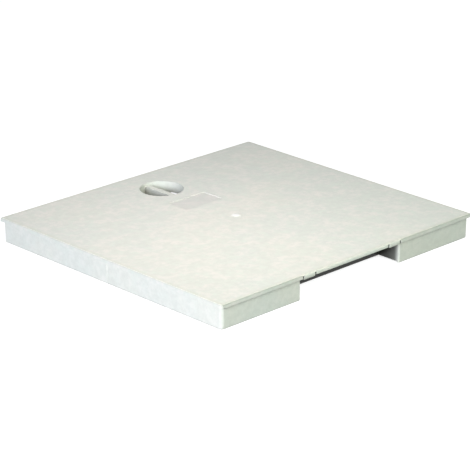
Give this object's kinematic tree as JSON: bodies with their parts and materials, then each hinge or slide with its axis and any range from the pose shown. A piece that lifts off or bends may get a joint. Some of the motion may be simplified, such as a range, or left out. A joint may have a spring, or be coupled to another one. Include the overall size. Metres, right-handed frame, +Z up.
{
  "type": "drain inspection cover",
  "caption": "Flat moulded plastic cover with an overhanging lip, a drafted skirt with a recess in one side, a round lift hole with a finger bar, and a ribbed underside.",
  "frame": {"origin": "middle of the outline of the skirt's foot, on the surface the cover stands on", "axes": "+Z up through the top face, +X along the long side; the recess in the skirt faces -Y and the lift hole is near the +Y edge"},
  "size_m": [0.325, 0.299, 0.0248],
  "materials": {
    "cover": "off-white injection-moulded plastic with a soft satin face"
  },
  "bodies": {
    "root": {"cover": "cover"}
  },
  "joints": []
}
